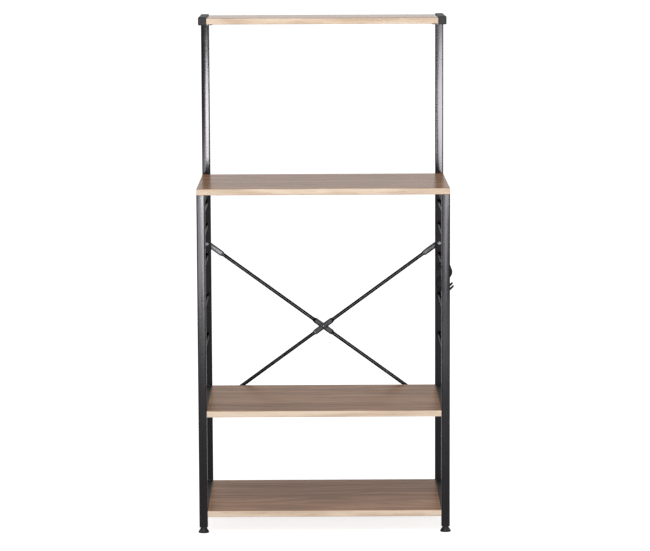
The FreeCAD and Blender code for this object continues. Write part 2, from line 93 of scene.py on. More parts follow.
class Signal:
    """A shader socket that takes part in Python arithmetic."""

    def __init__(self, graph: "Graph", socket: bpy.types.NodeSocket) -> None:
        """Wrap one output socket of a graph."""
        self.graph = graph
        self.socket = socket

    def _with(self, operation: str, other: Value, swapped: bool = False) -> "Signal":
        """Add one Math node on this and another value, in that order unless swapped."""
        pair = (other, self) if swapped else (self, other)
        return self.graph.add("ShaderNodeMath", dict(enumerate(pair)), operation=operation)

    def __add__(self, other: Value) -> "Signal":
        """Sum."""
        return self._with("ADD", other)

    def __radd__(self, other: Value) -> "Signal":
        """Sum, reflected."""
        return self._with("ADD", other, True)

    def __sub__(self, other: Value) -> "Signal":
        """Difference."""
        return self._with("SUBTRACT", other)

    def __rsub__(self, other: Value) -> "Signal":
        """Difference, reflected."""
        return self._with("SUBTRACT", other, True)

    def __mul__(self, other: Value) -> "Signal":
        """Product."""
        return self._with("MULTIPLY", other)

    def __rmul__(self, other: Value) -> "Signal":
        """Product, reflected."""
        return self._with("MULTIPLY", other, True)

    def __abs__(self) -> "Signal":
        """Size without sign."""
        return self._with("ABSOLUTE", 0.0)

    def larger(self, other: Value) -> "Signal":
        """The larger of this and another value."""
        return self._with("MAXIMUM", other)

    def wave(self) -> "Signal":
        """A sine wave between 0 and 1, with one crest for each whole number."""
        return (self * math.tau)._with("SINE", 0.0) * 0.5 + 0.5

    def ease(self, low: float, high: float) -> "Signal":
        """A smooth step from 0 at low to 1 at high."""
        inputs = {"Value": self, "From Min": low, "From Max": high}
        return self.graph.add("ShaderNodeMapRange", inputs, interpolation_type="SMOOTHSTEP")


@dataclass(frozen=True)
class Pattern:
    """A noise pattern on an object's own coordinates.

    Attributes:
        scale: Blotches in a metre along X, Y and Z.
        detail: Octaves of finer noise.
        fineness: Strength of the finer noise.
        span: Noise values between which the pattern rises from 0 to 1, or None for plain noise.
        rough: Roughness that it adds to a finish.
        share: Strength with which it colours a finish.
    """

    scale: Triple
    detail: float = 3.0
    fineness: float = 0.55
    span: Span | None = None
    rough: float = 0.0
    share: float = 0.0


class Graph:
    """One node tree, with one method that adds any node."""

    def __init__(self, tree: bpy.types.NodeTree) -> None:
        """Empty a tree and keep it."""
        self.tree = tree
        tree.nodes.clear()

    def add(self, kind: str, inputs: Inputs | None = None, output: str | int = 0,
            **settings: object) -> Signal:
        """Add a node.

        Args:
            kind: The node's type.
            inputs: Values or signals by the name or number of their socket, colours without alpha.
            output: The name or number of the socket to return.
            **settings: Properties of the node, set first; stops are those of a colour ramp.

        Returns:
            The chosen output as a signal.
        """
        node = self.tree.nodes.new(kind)
        for name, setting in settings.items():
            if name == "stops":
                self._set_stops(node.color_ramp, setting)
            else:
                setattr(node, name, setting)
        for key, value in (inputs or {}).items():
            socket = node.inputs[key]
            if isinstance(value, Signal):
                self.tree.links.new(value.socket, socket)
            elif socket.type == "RGBA":
                socket.default_value = (*value, 1.0)
            else:
                socket.default_value = value
        return Signal(self, node.outputs[output] if node.outputs else None)

    @staticmethod
    def _set_stops(ramp: bpy.types.ColorRamp, stops: Sequence[tuple[float, Colour]]) -> None:
        """Give a colour ramp its stops.

        Args:
            ramp: The ramp to set.
            stops: Places and colours, from first to last.
        """
        while len(ramp.elements) < len(stops):
            ramp.elements.new(1.0)
        for element, (place, colour) in zip(ramp.elements, stops):
            element.position = place
            element.color = (*colour, 1.0)

    def own(self) -> Signal:
        """The object's own coordinates."""
        return self.add("ShaderNodeTexCoord", output="Object")

    def place(self, scale: Sequence[float], shift: Sequence[float] = (0, 0, 0)) -> Signal:
        """The object's own coordinates, moved and stretched for a pattern."""
        return self.add("ShaderNodeMapping", {"Vector": self.own(), "Location": shift, "Scale": scale})

    def noise(self, pattern: Pattern, shift: Sequence[float] = (0, 0, 0)) -> Signal:
        """A noise pattern.

        Args:
            pattern: The pattern.
            shift: Where in the pattern the object lies.

        Returns:
            The pattern's value, from 0 to 1.
        """
        inputs = {"Vector": self.place(pattern.scale, shift), "Scale": 1.0}
        inputs |= {"Detail": pattern.detail, "Roughness": pattern.fineness}
        plain = self.add("ShaderNodeTexNoise", inputs, noise_dimensions="3D")
        return plain.ease(*pattern.span) if pattern.span else plain

    def ray(self, kind: str) -> Signal:
        """1 for a kind of ray, such as Camera, and 0 for the others."""
        return self.add("ShaderNodeLightPath", output=f"Is {kind} Ray")

    def mix(self, factor: Value, first: Value, second: Value, blend: str = "MIX") -> Signal:
        """Two colours mixed by a factor."""
        inputs = {0: factor, 6: first, 7: second}
        return self.add("ShaderNodeMix", inputs, 2, data_type="RGBA", blend_type=blend)

    def ramp(self, factor: Signal, tones: Sequence[Colour]) -> Signal:
        """A colour picked by a factor from tones that are evenly spaced."""
        stops = [(place / (len(tones) - 1), tone) for place, tone in enumerate(tones)]
        return self.add("ShaderNodeValToRGB", {"Fac": factor}, stops=stops)

    def split(self, vector: Signal) -> tuple[Signal, ...]:
        """The three numbers of a vector."""
        first = self.add("ShaderNodeSeparateXYZ", {"Vector": vector})
        return tuple(Signal(self, number) for number in first.socket.node.outputs)

    def bump(self, height: Signal) -> Signal:
        """A normal bent by a height in metres."""
        return self.add("ShaderNodeBump", {"Height": height, "Distance": 1.0, "Strength": 1.0})

    def surface(self, **sockets: Value) -> None:
        """Close the tree with a Principled shader.

        Args:
            **sockets: Values or signals by the name of their socket, with _ for spaces.
        """
        inputs = {name.replace("_", " "): value for name, value in sockets.items()}
        shader = self.add("ShaderNodeBsdfPrincipled", inputs)
        self.add("ShaderNodeOutputMaterial", {"Surface": shader})


class Finish:
    """A surface finish that makes its material once."""

    name: str

    def paint(self, graph: Graph) -> None:
        """Fill a node tree with this finish."""
        raise NotImplementedError

    def material(self) -> bpy.types.Material:
        """Make this finish's material at its first use.

        Returns:
            The material.
        """
        made = bpy.data.materials.get(self.name)
        if made is None:
            made = bpy.data.materials.new(self.name)
            made.use_nodes = True
            self.paint(Graph(made.node_tree))
        return made


@dataclass(frozen=True)
class TwoTone(Finish):
    """A finish of two tones, one clean and one smudged, over a fine grain.

    Attributes:
        name: The material's name.
        clean: Colour where the surface is clean.
        smudged: Colour where it is handled.
        gloss: Roughness of the clean surface.
        handling: Pattern of the handling.
        grain: Pattern of the grain.
        relief: Height of the grain, in metres.
        metal: Share of the surface that reflects as metal does.
        shine: Strength of the reflection.
        tint: Colour of the reflection, on metal only where it nears the outline.
    """

    name: str
    clean: Colour
    smudged: Colour
    gloss: float
    handling: Pattern
    grain: Pattern
    relief: float
    metal: float = 0.0
    shine: float = 0.5
    tint: Colour = (1.0, 1.0, 1.0)

    def paint(self, graph: Graph) -> None:
        """Mix the two tones, the gloss and the grain.

        Args:
            graph: The material's empty tree.
        """
        handled, grain = graph.noise(self.handling), graph.noise(self.grain)
        graph.surface(
            Base_Color=self.tone(graph, handled),
            Metallic=self.metal,
            Roughness=handled * self.handling.rough + grain * self.grain.rough + self.gloss,
            Normal=graph.bump(grain * self.relief),
            Specular_IOR_Level=self.shine,
            Specular_Tint=self.tint,
        )

    def tone(self, graph: Graph, handled: Signal) -> Signal:
        """The colour, by how far the surface is handled."""
        return graph.mix(handled, self.clean, self.smudged)


@dataclass(frozen=True)
class PowderCoat(TwoTone):
    """Semi-gloss black coat on drawn steel tube, with faint smudges and orange peel."""

    clean: Colour = (0.0030, 0.0029, 0.0034)
    smudged: Colour = (0.0075, 0.0070, 0.0080)
    gloss: float = 0.10
    handling: Pattern = Pattern((9, 9, 5), 4.0, span=(0.38, 0.72), rough=0.05)
    grain: Pattern = Pattern((900, 900, 900), 2.0, rough=0.02)
    relief: float = 4.0e-7
    shine: float = 0.36
    tint: Colour = (0.98, 0.94, 1.0)


@dataclass(frozen=True)
class PostCoat(PowderCoat):
    """The tubes' coat on a post, whose flats are slightly crowned, and which on a rear post carries painted
    shade below the counter.

    Attributes:
        axis_x: Distance of the post's middle line from the YZ plane.
        axis_y: Distance of that line from the XZ plane.
        crown: Slope that a flat gains per metre from that line.
        crown_from: Height at which the crown begins, or 0 where it has the post's whole length.
        crown_fade: Height above and below, over which it begins.
        satin: Roughness added to the coat below that height.
        painted_shade: Share of the coat that reflects as dark metal below that height, as painted shade.
    """

    axis_x: float = 0.0
    axis_y: float = 0.0
    crown: float = 7.0
    crown_from: float = 0.0
    crown_fade: float = 5.0 * MM
    satin: float = 0.40
    painted_shade: float = 0.55

    def paint(self, graph: Graph) -> None:
        """Mix the coat as on any tube, bend its reflections by the crown, and paint shade below where the
        crown begins.

        Args:
            graph: The material's empty tree.
        """
        handled, grain = graph.noise(self.handling), graph.noise(self.grain)
        roughness = handled * self.handling.rough + grain * self.grain.rough + self.gloss
        metal: Value = self.metal
        x, y, z = graph.split(graph.own())
        across, along = abs(x) - self.axis_x, abs(y) - self.axis_y
        fall = (across * across + along * along) * (self.crown / 2)
        if self.crown_from:
            crowned = z.ease(self.crown_from - self.crown_fade, self.crown_from + self.crown_fade)
            fall = fall * crowned
            roughness = roughness + (1.0 - crowned) * self.satin
            # Painted shade: below the crown the coat turns partly to dark metal and reflects less, so it
            # looks darker.
            metal = (1.0 - crowned) * self.painted_shade
        graph.surface(
            Base_Color=self.tone(graph, handled),
            Metallic=metal,
            Roughness=roughness,
            Normal=graph.bump(grain * self.relief - fall),
            Specular_IOR_Level=self.shine,
            Specular_Tint=self.tint,
        )


@dataclass(frozen=True)
class RodCoat(TwoTone):
    """Glossy black coat on round rod and wire, dark right up to its outline."""

    clean: Colour = (0.018, 0.017, 0.019)
    smudged: Colour = (0.024, 0.023, 0.025)
    gloss: float = 0.13
    handling: Pattern = Pattern((30, 30, 30), 4.0, span=(0.36, 0.70), rough=0.06)
    grain: Pattern = Pattern((1100, 1100, 1100), 2.0, rough=0.03)
    relief: float = 6.0e-7
    metal: float = 1.0
    tint: Colour = (0.06, 0.06, 0.06)


@dataclass(frozen=True)
class BraceCoat(RodCoat):
    """The rods' coat on two crossed rods, with a highlight painted along their squashed flats.

    Attributes:
        painted_flat_highlight: Colour painted along the middle of a flat, a painted highlight of the lamps
            that the flat mirrors.
        flat_from: Distance from the YZ plane at which the end flats begin.
        flat_to: Distance from the YZ plane at which the middle flats end.
        fade: Length over which a flat begins and ends.
        strip: Distances from a rod's middle line between which the painted highlight fades out.
        middle_share: Share of that colour that the middle flats take.
        lean: Angle of the rods to the floor, in radians.
        crossing: Height of their crossing.
    """

    painted_flat_highlight: Colour = (0.070, 0.068, 0.072)
    flat_from: float = 0.0
    flat_to: float = 0.0
    fade: float = 4.0 * MM
    strip: Span = (0.8 * MM, 4.4 * MM)
    middle_share: float = 0.3
    lean: float = 0.0
    crossing: float = 0.0

    def tone(self, graph: Graph, handled: Signal) -> Signal:
        """Paint a highlight along the flats.

        Args:
            graph: The material's tree.
            handled: How far the coat is handled.

        Returns:
            The coat's colour, with the painted highlight on the flats.
        """
        x, _, z = graph.split(graph.own())
        at_ends = abs(x).ease(self.flat_from - self.fade, self.flat_from)
        off_middle = abs(x).ease(self.flat_to, self.flat_to + self.fade)
        rise = abs(z - self.crossing) * math.cos(self.lean)
        off_axis = abs(abs(x) * math.sin(self.lean) - rise).ease(*self.strip)
        # Painted highlight: a lighter colour is mixed into the coat along the flats, where they mirror the
        # lamps.
        flats = (at_ends + (1.0 - off_middle) * self.middle_share) * (1.0 - off_axis)
        return graph.mix(flats, super().tone(graph, handled), self.painted_flat_highlight)


@dataclass(frozen=True)
class MouldedPlastic(TwoTone):
    """Matt black moulded plastic with a fine spark-eroded grain and light scuffs."""

    name: str = "moulded_black_plastic"
    clean: Colour = (0.009, 0.009, 0.010)
    smudged: Colour = (0.020, 0.019, 0.019)
    gloss: float = 0.40
    handling: Pattern = Pattern((60, 60, 25), 4.0, 0.7, span=(0.52, 0.78), rough=0.10)
    grain: Pattern = Pattern((1500, 1500, 1500), 2.0, rough=0.16)
    relief: float = 4.0e-5
    shine: float = 0.30


@dataclass(frozen=True)
class BlackZinc(TwoTone):
    """Black zinc plate on small fasteners, slightly clouded, with faint turning marks.

    Attributes:
        clouded: Values of its handling between which the plate goes from clear to clouded.
    """

    name: str = "black_zinc_plated_steel"
    clean: Colour = (0.110, 0.110, 0.115)
    smudged: Colour = (0.060, 0.060, 0.066)
    gloss: float = 0.20
    handling: Pattern = Pattern((160, 160, 160), rough=0.16)
    grain: Pattern = Pattern((2400, 2400, 300), 2.0, rough=0.08)
    relief: float = 1.5e-5
    metal: float = 1.0
    clouded: Span = (0.35, 0.65)

    def tone(self, graph: Graph, handled: Signal) -> Signal:
        """The plate's colour, from clear to clouded."""
        return super().tone(graph, handled.ease(*self.clouded))


@dataclass(frozen=True)
class OakLaminate(Finish):
    """Printed oak grain on board, with a paler edge band, paler partly in its own colour and partly as
    painted light on its front-lit upright faces.

    Attributes:
        name: The material's name.
        shift: Where in the grain pattern this board was cut.
        face: Dark, middle and light tones of the faces.
        edge: Dark, middle and light tones of the edge band, partly painted light.
        painted_edge_light: How much paler than the usual tones this board's edge band is, as painted light
            that falls more on the upper boards.
        sheen: Roughness of the print.
        shine: Strength of the print's reflection.
        sway: Pattern of the grain's slow bends.
        waver: Pattern of the grain's small bends.
        bands: Pattern of broad paler and darker bands.
        growth: Pattern of narrower bands.
        fibres: Pattern of the fibres.
        pores: Pattern of the dark pores.
        stains: Pattern of the greyer patches.
        rings: Growth rings in a metre across the grain.
        ring_sway: Rings by which a slow bend shifts the grain.
        ring_waver: Rings by which a small bend shifts it.
        ring_share: Share of the rings in the tone.
        contrast: Tone values that come out darkest and lightest.
        upright: Steepness of a surface, as its normal's Z, from edge band to face.
        stain: Colour that a stain multiplies the print by.
        pore: Colour of the pores.
        fibre_rise: Height of the fibres as a share of the pores' depth.
        relief: Depth of the pores, in metres.
    """

    name: str
    shift: Triple
    face: Tones = ((0.300, 0.160, 0.090), (0.440, 0.248, 0.147), (0.560, 0.343, 0.218))
    edge: Tones = ((0.540, 0.403, 0.296), (0.658, 0.518, 0.397), (0.738, 0.615, 0.492))
    painted_edge_light: float = 1.0
    sheen: float = 0.24
    shine: float = 0.02
    sway: Pattern = Pattern((1.6, 5, 5), 2.0, share=0.08)
    waver: Pattern = Pattern((6, 26, 26))
    bands: Pattern = Pattern((1.1, 34, 34), 4.0, 0.6, share=0.36)
    growth: Pattern = Pattern((2.2, 120, 120), share=0.24)
    fibres: Pattern = Pattern((16, 620, 620), 3.0, 0.65, rough=0.06, share=0.22)
    pores: Pattern = Pattern((34, 900, 900), 2.0, span=(0.60, 0.74), rough=0.10, share=0.35)
    stains: Pattern = Pattern((4.5, 15, 15), 4.0, 0.65, span=(0.50, 0.72), share=0.55)
    rings: float = 30.0
    ring_sway: float = 8.0
    ring_waver: float = 1.4
    ring_share: float = 0.10
    contrast: Span = (0.36, 0.64)
    upright: Span = (0.55, 0.75)
    stain: Colour = (0.74, 0.78, 0.82)
    pore: Colour = (0.09, 0.055, 0.035)
    fibre_rise: float = 0.6
    relief: float = 2.0e-5

    def paint(self, graph: Graph) -> None:
        """Print grain along X on the faces, and on the edge band where the surface stands upright, with
        paler tones there that are partly painted light.

        Args:
            graph: The material's empty tree.
        """
        fibres, pores, stains = (graph.noise(layer, self.shift)
                                 for layer in (self.fibres, self.pores, self.stains))
        spread = self._tone(graph, fibres).ease(*self.contrast)
        _, _, upward = graph.split(graph.add("ShaderNodeNewGeometry", output="Normal"))
        level = abs(upward).ease(*self.upright)
        face = graph.mix(stains * self.stains.share, graph.ramp(spread, self.face), self.stain, "MULTIPLY")
        # Painted light: pale brightens the edge band of the upper boards, which catch more light from
        # above.
        band = [tuple(self.painted_edge_light * channel for channel in tone) for tone in self.edge]
        # The edge band's paler tones are partly painted light on the front-lit upright faces.
        board = graph.mix(level, graph.ramp(spread, band), face)
        graph.surface(
            Base_Color=graph.mix(pores * self.pores.share, board, self.pore),
            Roughness=fibres * self.fibres.rough + pores * self.pores.rough + self.sheen,
            Normal=graph.bump((fibres * self.fibre_rise - pores) * self.relief),
            Specular_IOR_Level=self.shine,
        )

    def _tone(self, graph: Graph, fibres: Signal) -> Signal:
        """Lay bands, fibres and rings over each other.

        Args:
            graph: The material's tree.
            fibres: The fibres' pattern.

        Returns:
            The print's tone, from dark to light.
        """
        _, across, depth = graph.split(graph.place((1, 1, 1), self.shift))
        sway, waver, bands, growth = (graph.noise(layer, self.shift)
                                      for layer in (self.sway, self.waver, self.bands, self.growth))
        bends = sway * self.ring_sway + waver * self.ring_waver
        rings = ((across + depth) * self.rings + bends).wave()
        broad = bands * self.bands.share + growth * self.growth.share + sway * self.sway.share
        return broad + fibres * self.fibres.share + rings * self.ring_share


@dataclass(frozen=True)
class PaperSweep(Finish):
    """White paper floor that renders white and keeps a soft shadow.

    Attributes:
        name: The material's name.
        colour: Colour of the paper.
        glow: Glow that the camera sees.
        mirrored_glow: Glow that reflections show.
    """

    name: str = "white_paper_floor"
    colour: Colour = (0.92, 0.92, 0.92)
    glow: float = 0.78
    mirrored_glow: float = 0.14

    def paint(self, graph: Graph) -> None:
        """Add a glow for the camera, and a fainter one for mirror-like surfaces, to diffuse paper.

        Args:
            graph: The material's empty tree.
        """
        mirrored = graph.ray("Glossy").larger(graph.ray("Transmission"))
        strength = (graph.ray("Camera") * self.glow).larger(mirrored * self.mirrored_glow)
        paper = graph.add("ShaderNodeBsdfDiffuse", {"Color": self.colour})
        glow = graph.add("ShaderNodeEmission", {"Color": (1, 1, 1), "Strength": strength})
        both = graph.add("ShaderNodeAddShader", {0: paper, 1: glow})
        graph.add("ShaderNodeOutputMaterial", {"Surface": both})


FRAME_PAINT = PowderCoat("black_powder_coat")
RAIL_PAINT = PowderCoat("black_powder_coat_rail", gloss=0.50, shine=0.15)
ROD_PAINT = RodCoat("black_powder_coat_rod")
HOOK_PAINT = RodCoat("black_coated_wire", (0.014, 0.014, 0.015), (0.022, 0.022, 0.023), gloss=0.34)
PLASTIC = MouldedPlastic()
BLACK_ZINC = BlackZinc()


def dress(node: str, finish: Finish) -> None:
    """Give a CAD node a finish.

    Args:
        node: The node's name.
        finish: The finish to put in its material slots.
    """
    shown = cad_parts[node]
    if not shown.material_slots:
        shown.data.materials.append(None)
    for holder in shown.material_slots:
        holder.material = finish.material()
    LOG.info("dressed %s in %s", node, finish.name)


def show(name: str, data: bpy.types.ID) -> bpy.types.Object:
    """Put a mesh, lamp or camera into the scene.

    Args:
        name: The object's name.
        data: What the object shows.

    Returns:
        The new object.
    """
    made = bpy.data.objects.new(name, data)
    bpy.context.scene.collection.objects.link(made)
    return made


def piece(name: str, mesh: bmesh.types.BMesh, finish: Finish, body: str) -> bpy.types.Object:
    """Turn a bmesh into a piece that rides on a body.

    Args:
        name: The piece's name.
        mesh: The finished bmesh, in the row frame; it is freed.
        finish: The finish that the piece wears.
        body: The CAD body that it rides on.

    Returns:
        The new object.
    """
    bmesh.ops.remove_doubles(mesh, verts=mesh.verts, dist=TOUCH)
    bmesh.ops.recalc_face_normals(mesh, faces=mesh.faces)
    data = bpy.data.meshes.new(name)
    mesh.to_mesh(data)
    mesh.free()
    data.materials.append(finish.material())
    data.shade_smooth()
    data.set_sharp_from_angle(angle=CRISP)
    made = show(name, data)
    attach(made, body)
    LOG.info("built %s with %d faces", name, len(data.polygons))
    return made


class Blank:
    """A bmesh in the making, and the shapes that small hardware is made of."""

    def __init__(self) -> None:
        """Start with nothing."""
        self.mesh = bmesh.new()

    def turned(self, profile: Profile, at: Vector, axis: Vector, steps: int = 24, closed: bool = False,
               lead: float = 0.0) -> list[bmesh.types.BMVert]:
        """Spin a profile through a full turn.

        Args:
            profile: Points as (radius, height), the height measured from at along the axis.
            at: A point on the axis.
            axis: The axis, of length 1.
            steps: Facets in the turn.
            closed: Whether the profile's last point joins its first.
            lead: Travel along the axis in one turn, for a thread.

        Returns:
            The new vertices.
        """
        known = set(self.mesh.verts)
        outward = axis.orthogonal().normalized()
        line = [self.mesh.verts.new(at + outward * radius + axis * height) for radius, height in profile]
        pairs = list(zip(line, line[1:]))
        if closed:
            pairs.append((line[-1], line[0]))
        edges = [self.mesh.edges.new(pair) for pair in pairs]
        bmesh.ops.spin(self.mesh, geom=line + edges, cent=at, axis=axis, dvec=axis * (lead / steps),
                       angle=math.tau, steps=steps, use_merge=not lead)
        return [vert for vert in self.mesh.verts if vert not in known]

    @staticmethod
    def reshape(verts: Sequence[bmesh.types.BMVert], at: Vector, axis: Vector,
                place: Callable[[float, float, float], tuple[float, float]]) -> None:
        """Move turned vertices in or out and along their axis.

        Args:
            verts: The vertices to move.
            at: The point that they were turned about.
            axis: The axis that they were turned about.
            place: Takes an angle, a radius and a height, and gives the new radius and height.
        """
        outward = axis.orthogonal().normalized()
        sideways = axis.cross(outward)
        for vert in verts:
            arm = vert.co - at
            across, along = arm.dot(outward), arm.dot(sideways)
            angle = math.atan2(along, across)
            radius, height = place(angle, math.hypot(across, along), arm.dot(axis))
            vert.co = at + axis * height + (outward * math.cos(angle) + sideways * math.sin(angle)) * radius

    def close(self) -> None:
        """Join touching vertices and fill what is still open."""
        bmesh.ops.remove_doubles(self.mesh, verts=self.mesh.verts, dist=TOUCH)
        rims = [edge for edge in self.mesh.edges if edge.is_boundary]
        bmesh.ops.holes_fill(self.mesh, edges=rims, sides=0)

    def flattest(self, towards: Vector, likeness: float = 0.99) -> bmesh.types.BMFace:
        """Find the largest face that looks in a direction.

        Args:
            towards: The direction, of length 1.
            likeness: Least cosine of the angle between the face's normal and the direction.

        Returns:
            The face.
        """
        self.mesh.normal_update()
        facing = [face for face in self.mesh.faces if face.normal.dot(towards) > likeness]
        return max(facing, key=lambda face: face.calc_area())


def quarter_turn(steps: int) -> list[float]:
    """Angles from 0 to a right angle, in even steps."""
    return [math.pi / 2 * step / steps for step in range(steps + 1)]


def hexagon(angle: float, apothem: float) -> float:
    """How far a hexagon's side lies from its middle, at an angle from a corner."""
    return apothem / math.cos(angle % (math.pi / 3) - math.pi / 6)


@dataclass(frozen=True)
class WeldBead:
    """A rippled bead of weld, coated with the frame.

    Attributes:
        leg: Height and width of the bead.
        sink: How deep it reaches into the tubes.
        ripple: Length of one ripple.
        swell: Share by which a ripple rises and falls.
        facets: Facets along one ripple.
        arc: Facets over the crown of a bead round a rung.
        sides: Facets round a straight bead.
    """

    leg: float = 1.9 * MM
    sink: float = 0.4 * MM
    ripple: float = 1.7 * MM
    swell: float = 0.05
    facets: int = 6
    arc: int = 4
    sides: int = 16

    def ring(self, blank: Blank, at: Vector, axis: Vector, radius: float) -> None:
        """Lay a bead round the end of a rung.

        Args:
            blank: The bmesh to add to.
            at: Middle of the rung's end.
            axis: Direction in which the rung leaves the post.
            radius: The rung's radius.
        """
        crown = [(radius + self.leg * math.cos(turn), self.leg * math.sin(turn))
                 for turn in quarter_turn(self.arc)]
        root = [(radius - self.sink, self.leg), (radius - self.sink, -self.sink), (crown[0][0], -self.sink)]
        ripples = round(math.tau * radius / self.ripple)
        verts = blank.turned(crown + root, at, axis, steps=self.facets * ripples, closed=True)

        def place(angle: float, reach: float, height: float) -> tuple[float, float]:
            """Raise and lower the crown along the bead."""
            wave = 1.0 + self.swell * math.sin(ripples * angle)
            return radius + (reach - radius) * wave, height * wave

        blank.reshape(verts, at, axis, place)

    def straight(self, blank: Blank, start: Vector, end: Vector) -> None:
        """Lay a bead along a corner.

        Args:
            blank: The bmesh to add to.
            start: Where the bead begins.
            end: Where it ends.
        """
        length = (end - start).length
        count = self.facets * round(length / self.ripple)
        waves = [1.0 + self.swell * math.sin(math.tau * step / self.facets) for step in range(count)]
        crown = [(self.leg * wave, length * (step + 0.5) / count) for step, wave in enumerate(waves)]
        profile = [(0.0, 0.0), *crown, (0.0, length)]
        blank.turned(profile, start, (end - start).normalized(), steps=self.sides)


@dataclass(frozen=True)
class SocketScrew:
    """A domed screw with a hexagon socket.

    Attributes:
        head: Radius of the head.
        height: Height of the head.
        shank: Radius of the shank, over its thread.
        pitch: Distance from thread to thread.
        socket: Half the socket's width across its flats.
        crown_share: Share of the head's radius at which its dome begins.
        rim_share: Share of the head's height that its straight rim takes.
        floor_share: Share of the head's height that lies under the socket.
        thread_share: Depth of the thread as a share of its pitch.
        tip_share: Radius of the tip's flat as a share of the thread's root.
        chamfer: Width of the socket's chamfer, twice its depth, and length of the tip's.
        arc: Facets over the dome.
        slack: How far a vertex of the socket's wall may lie from its circle.
    """

    head: float
    height: float
    shank: float
    pitch: float
    socket: float
    crown_share: float = 0.62
    rim_share: float = 0.22
    floor_share: float = 0.35
    thread_share: float = 0.45
    tip_share: float = 0.7
    chamfer: float = 0.2 * MM
    arc: int = 5
    slack: float = 0.01 * MM

    def turn(self, blank: Blank, seat: Vector, outward: Vector, length: float, threaded: float) -> None:
        """Make one screw.

        Args:
            blank: The bmesh to add to.
            seat: The point under the middle of the head.
            outward: Direction from the seat through the head.
            length: Length of the shank below the seat.
            threaded: Length of the shank's threaded end.
        """
        corner = hexagon(0.0, self.socket)
        verts = blank.turned(self._head(corner) + self._shank(length, threaded), seat, outward)

        def place(angle: float, radius: float, level: float) -> tuple[float, float]:
            """Press the socket's round wall into a hexagon."""
            in_wall = abs(radius - corner) < self.slack and level > 0.0
            return (hexagon(angle, self.socket) if in_wall else radius), level

        blank.reshape(verts, seat, outward, place)

    def _head(self, corner: float) -> list[tuple[float, float]]:
        """Outline the head, from the socket's floor to the seat.

        Args:
            corner: Distance of the socket's corners from its middle.

        Returns:
            Points as (radius, height).
        """
        crown, rim = self.crown_share * self.head, self.rim_share * self.height
        floor, mouth = self.floor_share * self.height, self.height - self.chamfer / 2
        recess = [(0.0, floor), (corner, floor), (corner, mouth), (corner + self.chamfer, self.height)]
        dome = [(crown + (self.head - crown) * math.sin(turn), rim + (self.height - rim) * math.cos(turn))
                for turn in quarter_turn(self.arc)]
        return [*recess, *dome, (self.head, 0.0)]

    def _shank(self, length: float, threaded: float) -> list[tuple[float, float]]:
        """Outline the shank, from the seat to its tip.

        Args:
            length: Length of the shank.
            threaded: Length of its threaded end.

        Returns:
            Points as (radius, height).
        """
        root = self.shank - self.thread_share * self.pitch
        outline = [(self.shank, 0.0), (self.shank, threaded - length + self.chamfer / 2)]
        for step in range(int(threaded / self.pitch)):
            top = threaded - length - step * self.pitch
            outline += [(root, top), (self.shank, top - self.pitch / 2)]
        return [*outline, (root, self.chamfer - length), (self.tip_share * root, -length), (0.0, -length)]


@dataclass(frozen=True)
class HexNut:
    """A hexagon nut with its corners chamfered.

    Attributes:
        across: Width across the flats.
        height: Height of the nut.
        bore: Radius of the bore.
        chamfer: Fall of the corners, and twice the bore's own chamfer.
    """

    across: float
    height: float
    bore: float
    chamfer: float = 0.6 * MM

    def turn(self, blank: Blank, seat: Vector, outward: Vector) -> None:
        """Make one nut.

        Args:
            blank: The bmesh to add to.
            seat: Middle of the face that the nut stands on.
            outward: Direction from the seat through the nut.
        """
        flat = self.across / 2
        corner = hexagon(0.0, flat)
        ease = self.chamfer / 2
        lower = [(self.bore, ease), (self.bore + ease, 0.0), (flat, 0.0), (corner, self.chamfer)]
        upper = [(radius, self.height - level) for radius, level in reversed(lower)]
        verts = blank.turned(lower + upper, seat, outward, closed=True)

        def place(angle: float, radius: float, level: float) -> tuple[float, float]:
            """Press the round wall into six flats, with the chamfer's arcs above and below.

            Args:
                angle: The vertex's angle about the axis.
                radius: Its distance from the axis.
                level: Its height above the seat.

            Returns:
                The new radius and height.
            """
            if radius < (flat + corner) / 2:
                return radius, level
            reach = hexagon(angle, flat)
            fall = self.chamfer * (reach - flat) / (corner - flat)
            return reach, (fall if level < self.height / 2 else self.height - fall)

        blank.reshape(verts, seat, outward, place)


BEAD = WeldBead()
BRACE_BOLT = SocketScrew(head=5.5 * MM, height=2.6 * MM, shank=2.5 * MM, pitch=0.8 * MM, socket=1.5 * MM)
BOARD_SCREW = SocketScrew(head=4.0 * MM, height=2.2 * MM, shank=2.0 * MM, pitch=1.6 * MM, socket=1.25 * MM)
BRACE_NUT = HexNut(across=8.0 * MM, height=4.0 * MM, bore=2.3 * MM)


@dataclass(frozen=True)
class Softbox:
    """An oval softbox.

    Attributes:
        name: The lamp's name.
        at: Its place.
        size: Its width and height.
        aim: The point that it faces.
        radiance: How bright its face looks, where white is 1.
    """

    name: str
    at: Triple
    size: tuple[float, float]
    aim: Triple
    radiance: float

    def hang(self) -> None:
        """Hang the lamp in its place."""
        data = bpy.data.lights.new(self.name, "AREA")
        data.shape = "ELLIPSE"
        data.size, data.size_y = self.size
        data.energy = self.radiance * math.pi * math.prod(self.size) * math.pi / 4
        at = Vector(self.at)
        turn = (Vector(self.aim) - at).to_track_quat("-Z", "Z")
        show(self.name, data).matrix_world = Matrix.LocRotScale(at, turn, None)


